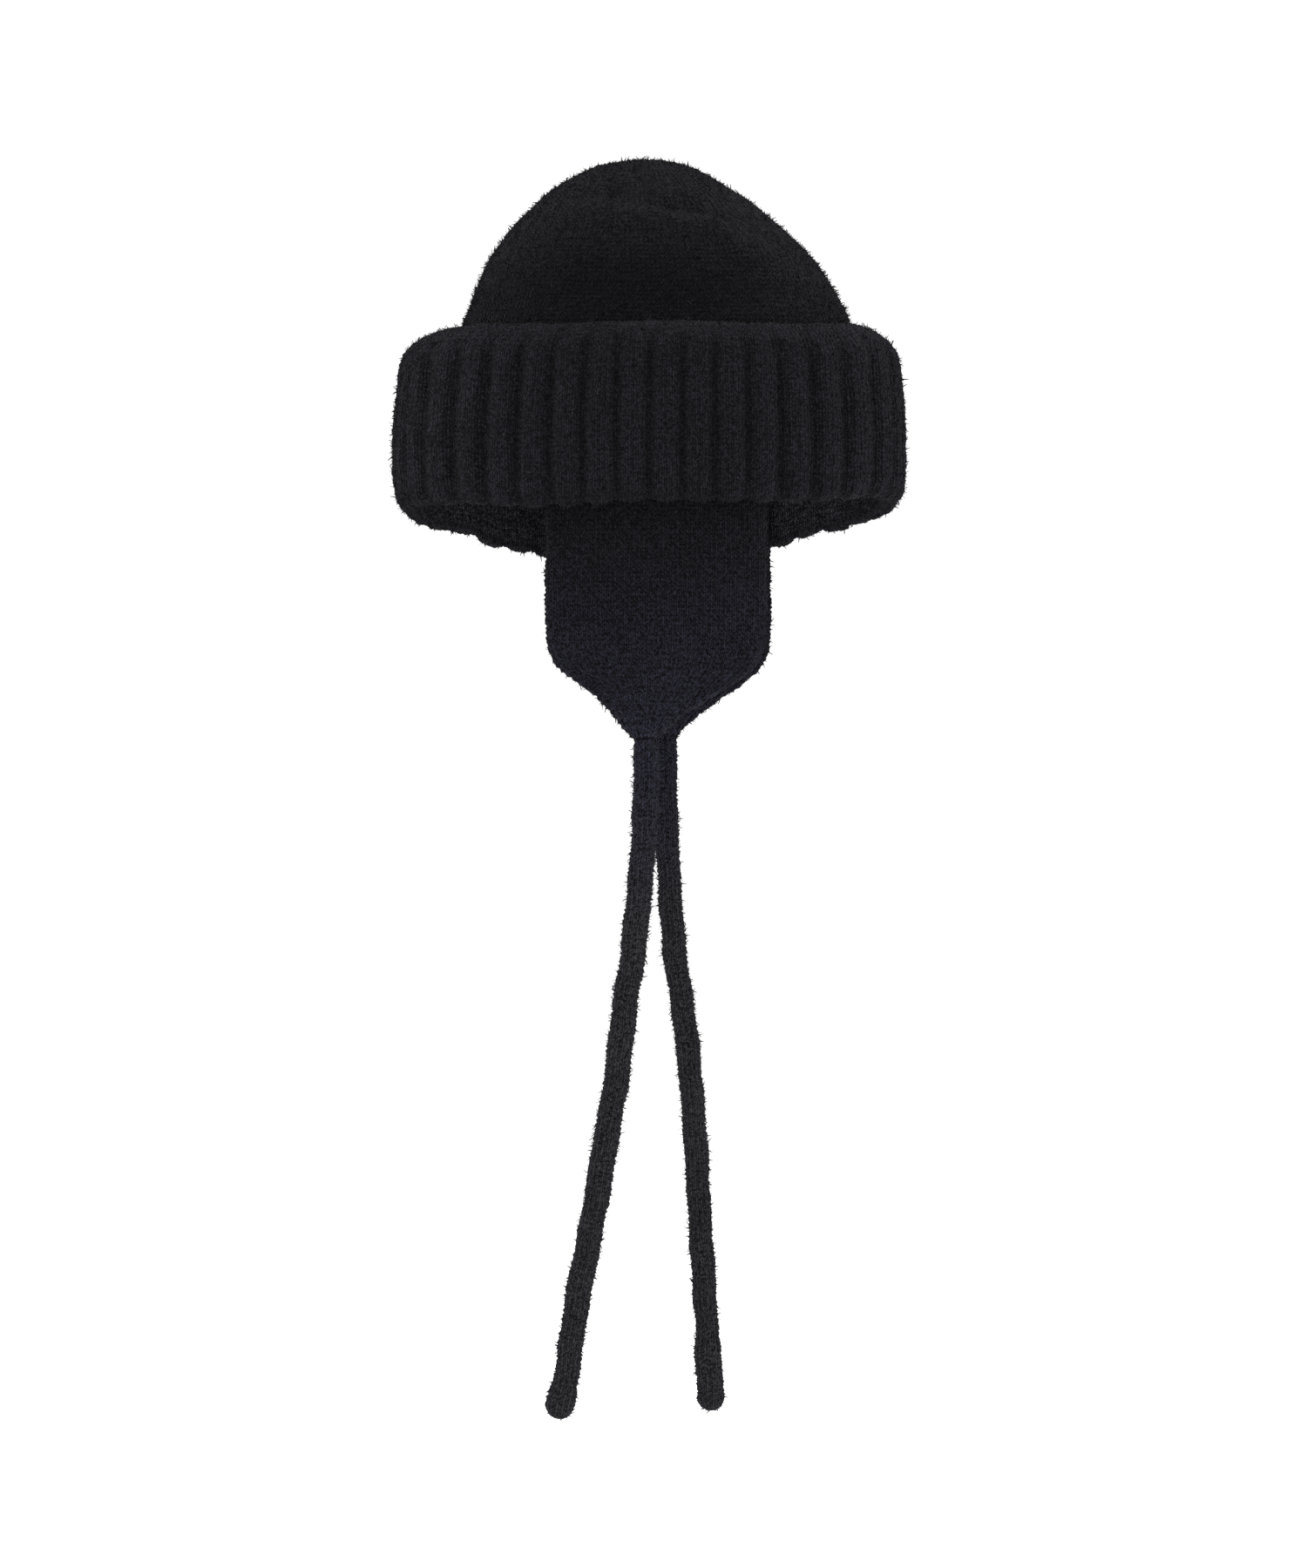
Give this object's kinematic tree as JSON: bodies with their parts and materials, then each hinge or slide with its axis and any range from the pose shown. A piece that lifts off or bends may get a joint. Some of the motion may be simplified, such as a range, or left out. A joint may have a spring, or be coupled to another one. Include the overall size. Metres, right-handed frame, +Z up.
{
  "type": "earflap knit cap",
  "caption": "Dark wool knit cap with a domed crown, a deep turned-up rib cuff, pointed ear flaps and long knitted ties hanging below.",
  "frame": {"origin": "inside of the crown's top, where the cap sits on a head", "axes": "+Z up, +X to the forehead, +Y to the wearer's left"},
  "size_m": [0.2333, 0.1778, 0.5822],
  "materials": {
    "crown_knit": "brushed plain-knit wool, matt, near black",
    "rib_knit": "brushed rib-knit wool, matt, near black",
    "flap_knit": "brushed plain-knit wool, matt, near black",
    "tie_knit": "knitted wool cord, fuzzy, matt, near black"
  },
  "bodies": {
    "root": {"crown": "crown_knit", "cuff": "rib_knit", "ear_flap_right": "flap_knit", "ear_flap_left": "flap_knit", "tie_right": "tie_knit", "tie_left": "tie_knit"}
  },
  "joints": []
}
